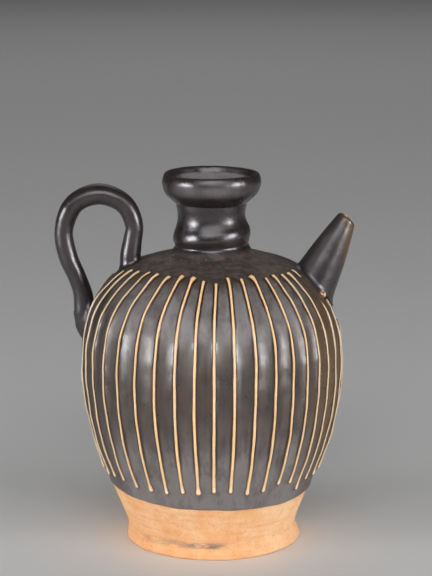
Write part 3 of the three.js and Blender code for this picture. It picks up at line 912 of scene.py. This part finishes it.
def spout_skin():
    """A cone round a leaning axis, luted to the wall at its root, sheared to an end that slants outwards and
    to the back, rounded over at the tip, with the bore going back down inside."""
    angle = once_round(96)
    axis = np.array([math.sin(spout_lean), 0, math.cos(spout_lean)])
    outward = np.array([math.cos(spout_lean), 0, -math.sin(spout_lean)])
    sideways = np.array([0, 1, 0])
    root = np.array([wall_radius(spout_root_height), 0, spout_root_height])

    def ring(along, radius):
        """Rings round the axis at lengths along it, sheared more and more towards the slanted end."""
        spoke = np.cos(angle)[:, None] * outward + np.sin(angle)[:, None] * sideways
        slope = spout_tip * (spout_slant * np.cos(angle) + spout_back_slant * np.sin(angle))
        sheared = step(along, 0.3 * spout_length, spout_length)[:, None] * slope
        return root + (along[:, None] - sheared)[..., None] * axis + radius[:, None, None] * spoke

    along = np.linspace(-0.02, spout_length - lip_round, 160)
    taper = (spout_tip - spout_base) / spout_length
    swell = spout_swell * np.sin(np.pi * np.clip(along / spout_length, 0, 1))
    lines = ring(along, spout_base + taper * along + swell)
    fillet, onward = luted_rows(lines, root, climb=0.003, spread=0.002, rows=9)
    rows = np.linspace(0, 1, 44)[1:, None]
    tube = picked(lines, onward + rows * (len(lines) - 1 - onward))
    lip_mid = (spout_tip + spout_bore) / 2
    lip_half = (spout_tip - spout_bore) / 2
    lip_along = spout_length - lip_round + lip_round * np.sin(lip_turn)
    lip = ring(lip_along, lip_mid + lip_half * np.cos(lip_turn))
    down = np.linspace(spout_length - 0.002, spout_bore_end, 18)
    bore_taper = (spout_bore - spout_base + spout_wall) / spout_length
    bore = ring(down, spout_bore + bore_taper * (down - spout_length))
    rings = np.vstack([fillet, tube, lip, bore])
    right = step(rings[..., 0], 0.064, 0.079) * 0.85
    worn = np.zeros(rings.shape[:2])
    worn[len(fillet) + len(tube):-len(bore)] = lip_wear[:, None]
    root_rows = slice(len(fillet) + 3)
    worn[root_rows] = 0.7 * bell(np.linalg.norm(rings[root_rows] - smear_centre, axis=-1), 0, smear_reach)
    return rings, None, {"thin_glaze": right, "worn_edge": worn, "bloom_and_sheen": 0.12}


spout = fired_skin("spout_tube", [spout_skin()], 60)
spout.data.materials.append(coat)
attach(spout, "root")
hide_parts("spout")

# Handle: a coil rolled by hand, bent into a loop a finger wide and luted on at both ends. Its upper root is
# smoothed into the shoulder, and its tail is thumbed flat onto the belly.
handle_points = np.array([
    [45.9, 152.5], [45.95, 163.0], [44.6, 172.0], [43.7, 180.0], [49.35, 192.2], [63.1, 197.75],
    [76.9, 192.3], [83.1, 177.5], [80.95, 162.2], [76.1, 150.7], [72.95, 141.0], [72.2, 132.0],
    [71.0, 124.0], [71.05, 118.0], [71.6, 113.2], [72.1, 108.5], [72.4, 101.5],
]) / 1000
inner_leg = np.array([
    [150, 163, 168, 173, 177, 180, 187, 198],
    [5.9, 5.75, 5.55, 5.25, 5.1, 5.1, 5.4, 5.85],
]) / 1000
outer_leg = np.array([
    [132, 136, 141, 146, 151, 156, 162, 170, 177, 198],
    [5.9, 5.6, 5.35, 5.1, 5.05, 5.15, 5.25, 5.4, 5.3, 5.85],
]) / 1000
coil_flatness = 1.04
coil_least_half = 0.0045
tail_start = 0.132
tail_run = 0.017
tail_thick = 0.0088
tail_thickest = 0.0065
tail_half = 0.0033
tail_spread = 0.0022
tongue_thick = 0.0011
tongue_end = 0.1018
tongue_length = 0.016


def handle_skin():
    """A round section carried along the loop's smooth line, a little squeezed here and there. Over the tail
    its outer half falls to the wall as 1 - u^1.8, down to a thin tongue that narrows as a square root, and
    its edges spread where they come down on the wall."""
    angle = once_round(44)
    line = smooth_line(handle_points, 220)
    middle = np.stack([-line[:, 0], np.zeros(len(line)), line[:, 1]], axis=-1)
    along = np.linspace(0, 1, len(line))[:, None]
    run = np.gradient(middle, axis=0)
    run /= np.linalg.norm(run, axis=1, keepdims=True)
    sideways = np.array([0.0, 1.0, 0.0])
    outward = np.cross(sideways, run)
    height = middle[:, 2:]
    tail = np.clip((tail_start - height) / tail_run, 0, 1) * (along > 0.6)
    squeeze = 1 + 0.012 * np.sin(along * 19 + 1) + 0.01 * np.sin(along * 43)
    half = np.where(along < 0.45, np.interp(height, *inner_leg), np.interp(height, *outer_leg)) * squeeze
    clear = np.hypot(middle[:, :1], middle[:, 1:2]) - wall_radius(height)
    narrowing = np.sqrt(np.clip((height - tongue_end) / tongue_length, 0.001, 1))
    tongue = tongue_thick * step(tail, 0.6, 1.0) * narrowing
    pressed = tail_thick * (1 - tail**1.8) + tongue + luted_lift - clear
    thick = np.where(tail > 0, np.minimum(pressed, tail_thickest), half)
    wide = np.maximum(half, coil_least_half) * coil_flatness * (1 - tail) + tail_half * tail * narrowing
    lines = (
        middle[:, None]
        + (thick * np.cos(angle))[..., None] * outward[:, None]
        + (wide * np.sin(angle))[..., None] * sideways
    )
    clearance = np.hypot(lines[..., 0], lines[..., 1]) - wall_radius(lines[..., 2])
    near = (1 - step(clearance, -0.0005, 0.0035)) * step(along, 0.7, 0.8) * narrowing
    lines[..., 1] += tail_spread * near * np.sin(angle)
    fillet, onward = luted_rows(lines[:60], middle[6], climb=0.0045, spread=0.0028, rows=9)
    rows = np.linspace(0, 1, 170)[1:, None]
    tube = picked(lines, onward + rows * (len(lines) - 1 - onward))
    return np.vstack([fillet, tube]), [middle[2], middle[-1]], {"thin_glaze": 0.1, "bloom_and_sheen": 0.06}


handle = fired_skin("handle_coil", [handle_skin()], 60)
handle.data.materials.append(coat)
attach(handle, "root")
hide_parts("handle")

# Studio: a wide pale floor in a dim grey surround, with plain soft light. Two wide, low soft boxes stand at
# the sides, a weak one hangs in front, and one over the floor behind lights what the camera sees there.
floor_half = 9.0
floor_corners = [(x * floor_half, y * floor_half, 0) for x, y in ((-1, -1), (1, -1), (1, 1), (-1, 1))]
floor_grey = (0.72, 0.72, 0.72, 1)
world_front_grey = (0.03, 0.03, 0.03, 1)
world_back_grey = (0.05, 0.05, 0.05, 1)
floor_mesh = bpy.data.meshes.new("floor")
floor_mesh.from_pydata(floor_corners, [], [(0, 1, 2, 3)])
floor = bpy.data.objects.new("floor", floor_mesh)
bpy.context.scene.collection.objects.link(floor)
floor.data.materials.append(finish_material("floor_paint", {"Roughness": 0.6, "Base Color": floor_grey})[0])


def soft_box(name, place, aim, wide, tall, power, fade):
    """Rectangular lamp at a place, turned to face the aim. It is brightest in its middle, as cloth in front
    of a bulb is, and from the given distance falls as a smooth step to nothing at its edge."""
    lamp = bpy.data.lights.new(name, "AREA")
    lamp.shape = "RECTANGLE"
    lamp.size, lamp.size_y = wide, tall
    lamp.energy = power
    lamp.use_nodes = True
    tree = lamp.node_tree
    across = node(tree, "NewGeometry").outputs["Parametric"]
    across = node(tree, "VectorMath", {0: across, 1: (0.5, 0.5, 0.0)}, operation="SUBTRACT").outputs[0]
    from_middle = node(tree, "VectorMath", {0: across}, operation="LENGTH").outputs["Value"]
    tree.links.new(rise(tree, from_middle, 0.55, fade), tree.nodes["Emission"].inputs["Strength"])
    box = bpy.data.objects.new(name, lamp)
    away = np.array(place) - np.array(aim)
    box.location = place
    tilt = math.atan2(math.hypot(away[0], away[1]), away[2])
    box.rotation_euler = (tilt, 0, math.atan2(away[0], -away[1]))
    bpy.context.scene.collection.objects.link(box)


soft_box("left_box", (-2.94, -1.38, 0.54), (0, 0, 0.1), 2.34, 1.2, 222.0, 0.05)
soft_box("right_box", (2.79, -1.68, 0.54), (0, 0, 0.1), 2.34, 1.2, 222.0, 0.05)
soft_box("front_box", (0, -1.5, 1.15), (0, 0, 0.15), 2.7, 0.9, 31.0, 0.32)
soft_box("back_box", (0, 3.2, 3.0), (0, 3.1, 0), 4.6, 3.6, 62.0, 0.1)
world = bpy.data.worlds.new("studio_grey")
world.use_nodes = True
tree = world.node_tree
back = node(tree, "SeparateXYZ", {0: node(tree, "TexCoord").outputs["Generated"]}).outputs["Y"]
sky = blend(tree, rise(tree, back, 0.1, 0.9), world_front_grey, world_back_grey)
tree.links.new(sky, tree.nodes["Background"].inputs["Color"])
bpy.context.scene.world = world

# Camera: in front of the jug, at the photo's angle, looking down a little through a long lens. A tilt of 90
# degrees would be level.
camera_tilt = math.radians(78.4)
camera = bpy.data.objects.new("camera", bpy.data.cameras.new("camera"))
camera.data.lens = 125
camera.data.sensor_width = 36
camera.location = (0.0021, -1.10407, 0.37085)
camera.rotation_euler = (camera_tilt, 0, 0)
bpy.context.scene.collection.objects.link(camera)
bpy.context.scene.camera = camera
bpy.context.scene.view_settings.view_transform = "Standard"
